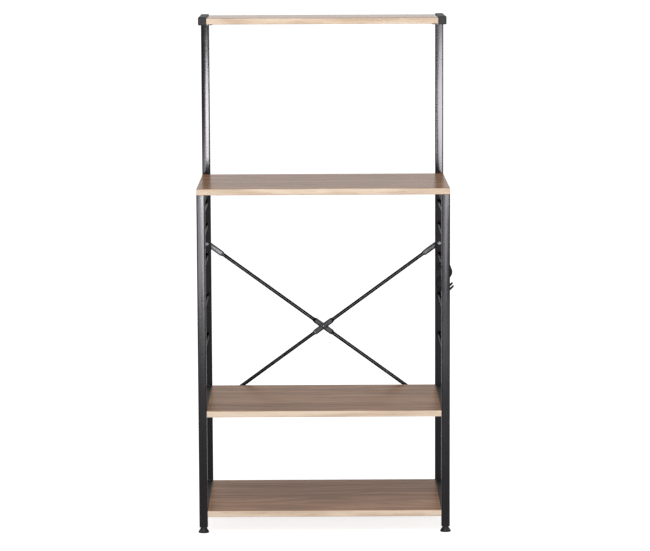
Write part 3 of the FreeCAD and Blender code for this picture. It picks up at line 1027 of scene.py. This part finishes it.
@dataclass
class Studio:
    """White floor, soft light and the photograph's camera.

    Attributes:
        camera_at: The camera's place, in metres.
        yaw: Turn to the right of +Y, in degrees.
        pitch: Downward tilt, in degrees.
        roll: Clockwise turn of the camera, in degrees.
        focal_px: Focal length in pixels of the image.
        image_width: Width of the image in pixels.
        sight: How far the camera sees.
        floor_reach: How far the floor runs from the middle.
        fill: Strength of the even light from all round.
        boxes: The softboxes.
    """

    camera_at: Vector = field(default_factory=lambda: Vector((-0.0136, -7.1332, 1.5048)))
    yaw: float = 0.141
    pitch: float = 7.263
    roll: float = 0.252
    focal_px: float = 2948.7
    image_width: int = 650
    sight: float = 200.0
    floor_reach: float = 60.0
    fill: float = 0.37
    boxes: tuple[Softbox, ...] = (
        Softbox("left_softbox", (-0.22, -4.0, 0.625), (0.48, 0.55), (-0.22, 0.0, 0.625), 36.0),
        Softbox("left_low_panel", (-0.62, -4.0, 0.29), (0.70, 0.54), (-0.62, 0.0, 0.29), 8.5),
        Softbox("left_low_strip", (-0.15, -4.0, 0.29), (0.28, 0.54), (-0.15, 0.0, 0.29), 17.0),
        Softbox("right_softbox", (0.76, -4.0, 0.725), (1.05, 0.55), (0.76, 0.0, 0.725), 25.0),
        Softbox("right_low_panel", (0.46, -4.0, 0.32), (0.40, 0.46), (0.46, 0.0, 0.32), 9.0),
        Softbox("overhead_softbox", (-0.4, -3.0, 3.6), (2.6, 1.6), (0.0, 0.0, 0.7), 3.6),
    )

    def build(self) -> None:
        """Set the whole studio up."""
        bpy.context.scene.view_settings.view_transform = "Standard"
        self._floor()
        self._world()
        for box in self.boxes:
            box.hang()
        self._camera()

    def _floor(self) -> None:
        """Lay the paper floor."""
        mesh = bmesh.new()
        bmesh.ops.create_grid(mesh, x_segments=1, y_segments=1, size=self.floor_reach)
        data = bpy.data.meshes.new("paper_floor")
        mesh.to_mesh(data)
        mesh.free()
        data.materials.append(PaperSweep().material())
        floor = show("paper_floor", data)

    def _world(self) -> None:
        """Fill the room with even white light, and show it as white."""
        world = bpy.data.worlds.new("white_room")
        world.use_nodes = True
        bpy.context.scene.world = world
        graph = Graph(world.node_tree)
        shown = graph.ray("Camera").larger(graph.ray("Glossy")).larger(graph.ray("Transmission"))
        strength = shown * (1.0 - self.fill) + self.fill
        light = graph.add("ShaderNodeBackground", {"Color": (1, 1, 1), "Strength": strength})
        graph.add("ShaderNodeOutputWorld", {"Surface": light})

    def _camera(self) -> None:
        """Stand the camera where the photograph was taken."""
        yaw, pitch, roll = (math.radians(angle) for angle in (self.yaw, self.pitch, self.roll))
        ahead = Vector((math.sin(yaw) * math.cos(pitch), math.cos(yaw) * math.cos(pitch), -math.sin(pitch)))
        level = Vector((math.cos(yaw), -math.sin(yaw), 0.0))
        down = ahead.cross(level)
        right = level * math.cos(roll) + down * math.sin(roll)
        below = down * math.cos(roll) - level * math.sin(roll)
        data = bpy.data.cameras.new("camera")
        data.sensor_fit = "HORIZONTAL"
        data.lens = self.focal_px / self.image_width * data.sensor_width
        data.clip_end = self.sight
        camera = show("camera", data)
        turn = Matrix((right, -below, -ahead)).transposed()
        camera.matrix_world = Matrix.Translation(self.camera_at) @ turn.to_4x4()
        bpy.context.scene.camera = camera


@dataclass
class SideFrame:
    """One welded side: two posts, four rails and five rungs.

    Attributes:
        side: Which side it is.
        rails: Names of the rails between the posts.
        head_rail: Name of the rail on the rear post's head.
        rungs: Names of the rungs, from the top down.
        buried: The rail whose upper beads would lie under the counter.
        margin: How far a bead stops short of a tube's edge.
    """

    side: Side
    rails: tuple[str, ...] = ("counter_rail", "middle_rail", "base_rail")
    head_rail: str = "top_rail"
    rungs: tuple[str, ...] = ("first_rung", "second_rung", "third_rung", "fourth_rung", "fifth_rung")
    buried: str = "counter_rail"
    margin: float = 3.0 * MM

    def build(self) -> None:
        """Dress the tubes and rungs, and weld them."""
        for end in End:
            dress(self._node(f"{end.value}_post"), self._post_coat(end))
        for rail in (*self.rails, self.head_rail):
            dress(self._node(rail), RAIL_PAINT)
        for rung in self.rungs:
            dress(self._node(rung), ROD_PAINT)
        self._weld()

    def _node(self, name: str) -> str:
        """The full name of one of this side's nodes."""
        return f"{self.side.value}_{name}"

    def _post_coat(self, end: End) -> PostCoat:
        """Fit a coat to a post's middle line, and on a rear post begin its crown in the counter, with
        painted shade below it.

        Args:
            end: The end that the post stands at.

        Returns:
            The coat.
        """
        low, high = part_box(self._node(f"{end.value}_post"))
        middle = (low + high) / 2
        coat = PostCoat(f"black_powder_coat_{end.value}_post", axis_x=abs(middle.x), axis_y=abs(middle.y))
        if end is End.FRONT:
            return coat
        under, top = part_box("counter_board")
        return replace(coat, crown_from=(under.z + top.z) / 2)

    def _weld(self) -> None:
        """Lay the beads at the rungs, the rails and the head of the rear post."""
        blank = Blank()
        for rung in self.rungs:
            low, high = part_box(self._node(rung))
            middle = (low + high) / 2
            for y, axis in ((low.y, REARWARD), (high.y, FORWARD)):
                BEAD.ring(blank, Vector((middle.x, y, middle.z)), axis, (high.z - low.z) / 2)
        for rail in self.rails:
            low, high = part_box(self._node(rail))
            for z in (low.z,) if rail == self.buried else (low.z, high.z):
                self._corner_bead(blank, low.y, z)
                self._corner_bead(blank, high.y, z)
        low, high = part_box(self._node("rear_post"))
        self._corner_bead(blank, low.y, high.z)
        piece(self._node("frame_welds"), blank.mesh, FRAME_PAINT, ROOT)

    def _corner_bead(self, blank: Blank, y: float, z: float) -> None:
        """Lay a bead across the tube's width, in a corner.

        Args:
            blank: The bmesh to add to.
            y: The corner's Y.
            z: The corner's height.
        """
        low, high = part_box(self._node("rear_post"))
        start = Vector((low.x + self.margin, y, z))
        BEAD.straight(blank, start, Vector((high.x - self.margin, y, z)))


@dataclass
class RailCap:
    """A push-in plastic cap in one end of a top rail.

    Attributes:
        side: The rail's side.
        end: The rail's end.
        plate: Thickness of the plate.
        corner: Radius of the plate's corners.
        corner_facets: Facets round a corner.
        ease: Rounding of the plate's rim.
        ease_facets: Facets over the rim.
        border: Width of the border round the plate's panel.
        dish: Depth of the panel.
        wall: Step from the plate's side to the stub's.
    """

    side: Side
    end: End
    plate: float = 2.5 * MM
    corner: float = 2.6 * MM
    corner_facets: int = 6
    ease: float = 0.7 * MM
    ease_facets: int = 3
    border: float = 1.3 * MM
    dish: float = 0.35 * MM
    wall: float = 1.35 * MM

    def build(self) -> None:
        """Shape the cap from a plate and stand it for its node."""
        node = f"{self.side.value}_top_rail_{self.end.value}_cap"
        low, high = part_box(node)
        outward = FORWARD if self.end is End.FRONT else REARWARD
        face = low.y if self.end is End.FRONT else high.y
        middle = Vector(((low.x + high.x) / 2, face - outward.y * self.plate / 2, (low.z + high.z) / 2))
        size = Vector((high.x - low.x, self.plate, high.z - low.z))
        blank = Blank()
        bmesh.ops.create_cube(blank.mesh, size=1.0, matrix=Matrix.LocRotScale(middle, None, size))
        corners = [edge for edge in blank.mesh.edges if self._runs_through(edge)]
        self._bevel(blank, corners, self.corner, self.corner_facets)
        self._bevel(blank, blank.flattest(outward).edges, self.ease, self.ease_facets)
        panel = blank.flattest(outward)
        bmesh.ops.inset_region(blank.mesh, faces=[panel], thickness=self.border)
        bmesh.ops.inset_region(blank.mesh, faces=[panel], thickness=self.dish, depth=-self.dish)
        back = blank.flattest(-outward)
        bmesh.ops.inset_region(blank.mesh, faces=[back], thickness=self.wall)
        stub = bmesh.ops.extrude_discrete_faces(blank.mesh, faces=[back])["faces"][0]
        length = high.y - low.y - self.plate
        bmesh.ops.translate(blank.mesh, verts=stub.verts, vec=-outward * length)
        made = piece(f"{node}_moulding", blank.mesh, PLASTIC, ROOT)
        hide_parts(node)

    @staticmethod
    def _runs_through(edge: bmesh.types.BMEdge) -> bool:
        """Whether an edge runs through the plate's thickness."""
        run = edge.verts[1].co - edge.verts[0].co
        return abs(run.y) > abs(run.x) + abs(run.z)

    @staticmethod
    def _bevel(blank: Blank, edges: Sequence[bmesh.types.BMEdge], offset: float, segments: int) -> None:
        """Round some edges."""
        bmesh.ops.bevel(blank.mesh, geom=list(edges), offset=offset, offset_type="OFFSET", affect="EDGES",
                        segments=segments, profile=0.5, material=-1)


@dataclass
class Shelf:
    """One board with its grain, and the tabs and screws that hold it.

    Attributes:
        name: The shelf's name.
        shift: Where in the grain pattern its board was cut.
        sheen: Roughness of its print.
        painted_edge_light: How much paler than the usual tones its edge band is, as painted light that
            falls more on the upper boards.
        on_tabs: Whether it lies on welded tabs.
        tab_width: Width of a tab.
        tab_margin: How far a tab's bead stops short of its side.
    """

    name: str
    shift: Triple
    sheen: float
    painted_edge_light: float = 1.0
    on_tabs: bool = True
    tab_width: float = 30.0 * MM
    tab_margin: float = 4.0 * MM

    def build(self) -> None:
        """Dress the board and make what holds it."""
        print_name = f"oak_laminate_{self.name}"
        dress(f"{self.name}_board", OakLaminate(print_name, self.shift, painted_edge_light=self.painted_edge_light, sheen=self.sheen))
        self._screw_down()
        if self.on_tabs:
            dress(f"{self.name}_tabs", FRAME_PAINT)
            self._weld_tabs()

    def _screw_down(self) -> None:
        """Put a socket screw in each corner."""
        node = f"{self.name}_screws"
        low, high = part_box(node)
        blank = Blank()
        seat_z = low.z + BOARD_SCREW.height
        bite = high.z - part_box(f"{self.name}_board")[0].z
        for x in (low.x + BOARD_SCREW.head, high.x - BOARD_SCREW.head):
            for y in (low.y + BOARD_SCREW.head, high.y - BOARD_SCREW.head):
                BOARD_SCREW.turn(blank, Vector((x, y, seat_z)), DOWN, high.z - seat_z, bite)
        made = piece(f"{self.name}_socket_screws", blank.mesh, BLACK_ZINC, ROOT)
        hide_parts(node)

    def _weld_tabs(self) -> None:
        """Lay a bead under the root of each tab."""
        low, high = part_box(f"{self.name}_tabs")
        reach = self.tab_width / 2 - self.tab_margin
        blank = Blank()
        for x in (low.x, high.x):
            for y in (low.y + self.tab_width / 2, high.y - self.tab_width / 2):
                BEAD.straight(blank, Vector((x, y - reach, low.z)), Vector((x, y + reach, low.z)))
        piece(f"{self.name}_tab_welds", blank.mesh, FRAME_PAINT, ROOT)


@dataclass
class RearBrace:
    """The crossed rods, their bolts, nuts and rivet.

    Attributes:
        rods: Names of the rods.
        flat_width: Width of the flats squashed into the rods.
        end_flat: Length of an end flat from its bolt.
        middle_flat: Half the length of a middle flat.
        rivet_head: Height of a rivet's head.
        rivet_shank: Radius of its shank.
        rivet_arc: Facets over its dome.
        thread_end: Length of a bolt's threaded end.
    """

    rods: tuple[str, ...] = ("brace_rising_right", "brace_rising_left")
    flat_width: float = 13.5 * MM
    end_flat: float = 44.0 * MM
    middle_flat: float = 25.0 * MM
    rivet_head: float = 1.4 * MM
    rivet_shank: float = 2.5 * MM
    rivet_arc: int = 5
    thread_end: float = 8.0 * MM

    def build(self) -> None:
        """Dress the rods and make their fasteners."""
        coat = self._coat()
        for rod in self.rods:
            dress(rod, coat)
        self._bolt_up()
        self._rivet()

    def _coat(self) -> BraceCoat:
        """Place the flats of the rods' coat from the frame.

        Returns:
            The coat.
        """
        low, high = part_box(self.rods[0])
        across, up = ((span - self.flat_width) / 2 for span in (high.x - low.x, high.z - low.z))
        lean = math.atan2(up, across)
        return BraceCoat(
            "black_powder_coat_brace",
            flat_from=across - self.end_flat * math.cos(lean),
            flat_to=self.middle_flat * math.cos(lean),
            lean=lean,
            crossing=(low.z + high.z) / 2,
        )

    def _bolt_up(self) -> None:
        """Put a bolt and a nut at each end of the rods."""
        low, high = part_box("brace_bolts")
        nut_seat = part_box("brace_nuts")[0].y
        bolts, nuts = Blank(), Blank()
        seat_y = low.y + BRACE_BOLT.height
        for x in (low.x + BRACE_BOLT.head, high.x - BRACE_BOLT.head):
            for z in (low.z + BRACE_BOLT.head, high.z - BRACE_BOLT.head):
                BRACE_BOLT.turn(bolts, Vector((x, seat_y, z)), FORWARD, high.y - seat_y, self.thread_end)
                BRACE_NUT.turn(nuts, Vector((x, nut_seat, z)), REARWARD)
        made = piece("brace_domed_bolts", bolts.mesh, BLACK_ZINC, ROOT)
        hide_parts("brace_bolts")
        made = piece("brace_hex_nuts", nuts.mesh, BLACK_ZINC, ROOT)
        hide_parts("brace_nuts")

    def _rivet(self) -> None:
        """Close a domed rivet through the crossing."""
        low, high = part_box("brace_rivet")
        middle = (low + high) / 2
        half, head = (high.y - low.y) / 2, (high.x - low.x) / 2
        dome = [(head * math.sin(turn), half - self.rivet_head * (1.0 - math.cos(turn)))
                for turn in quarter_turn(self.rivet_arc)]
        rear = [*dome, (self.rivet_shank, half - self.rivet_head)]
        front = [(radius, -height) for radius, height in reversed(rear)]
        blank = Blank()
        blank.turned(rear + front, middle, REARWARD)
        made = piece("brace_domed_rivet", blank.mesh, BLACK_ZINC, ROOT)
        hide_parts("brace_rivet")


@dataclass
class ScrewFoot:
    """One flared foot on its threaded stud.

    Attributes:
        side: The foot's side.
        end: The foot's end.
        pitch: Distance from thread to thread.
        thread_depth: Depth of the thread.
        thread_form: Outline of one thread, as shares of its depth below the crest and of its pitch.
    """

    side: Side
    end: End
    pitch: float = 1.25 * MM
    thread_depth: float = 0.7 * MM
    thread_form: Profile = ((1.0, 0.0), (1.0, 0.15), (0.0, 0.45), (0.0, 0.55), (1.0, 0.85))

    def build(self) -> None:
        """Dress the foot and the plug that it screws into, and cut the stud's thread."""
        corner = f"{self.end.value}_{self.side.value}"
        dress(f"{corner}_foot", PLASTIC)
        dress(f"{corner}_post_plug", PLASTIC)
        self._thread(corner)

    def _thread(self, corner: str) -> None:
        """Cut the stud's thread as one helix.

        Args:
            corner: The corner that the foot stands under.
        """
        node = f"{corner}_foot_stud"
        low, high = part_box(node)
        middle = (low + high) / 2
        crest = (high.x - low.x) / 2
        turns = int((high.z - low.z) / self.pitch) - 1
        profile = [(crest - deep * self.thread_depth, (turn + share) * self.pitch)
                   for turn in range(turns) for deep, share in self.thread_form]
        profile.append((crest - self.thread_depth, turns * self.pitch))
        blank = Blank()
        blank.turned(profile, Vector((middle.x, middle.y, low.z)), UP, lead=self.pitch)
        blank.close()
        made = piece(f"{corner}_threaded_stud", blank.mesh, BLACK_ZINC, f"{corner}_leveller")
        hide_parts(node)


@dataclass
class WireHook:
    """One S hook of coated wire.

    Attributes:
        end: Which of the two hooks it is.
    """

    end: End

    def build(self) -> None:
        """Dress the wire."""
        dress(f"{self.end.value}_s_hook", HOOK_PAINT)


def main() -> None:
    """Build the rack's looks in order."""
    logging.basicConfig(level=logging.INFO)
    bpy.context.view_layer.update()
    assemblies = [SideFrame(side) for side in Side]
    assemblies += [
        # On the top and counter boards, pale is painted light on the edge band.
        Shelf("top", shift=(0.31, 2.7, 0.9), sheen=0.14, painted_edge_light=1.14),
        Shelf("counter", shift=(4.13, 0.6, 2.2), sheen=0.22, painted_edge_light=1.05, on_tabs=False),
        Shelf("middle", shift=(7.77, 5.1, 1.4), sheen=0.28),
        Shelf("base", shift=(2.45, 8.3, 3.8), sheen=0.30),
        RearBrace(),
    ]
    assemblies += [RailCap(side, end) for side in Side for end in End]
    assemblies += [ScrewFoot(side, end) for side in Side for end in End]
    assemblies += [WireHook(end) for end in End]
    assemblies.append(Studio())
    for assembly in assemblies:
        assembly.build()


if __name__ == "__main__":
    main()
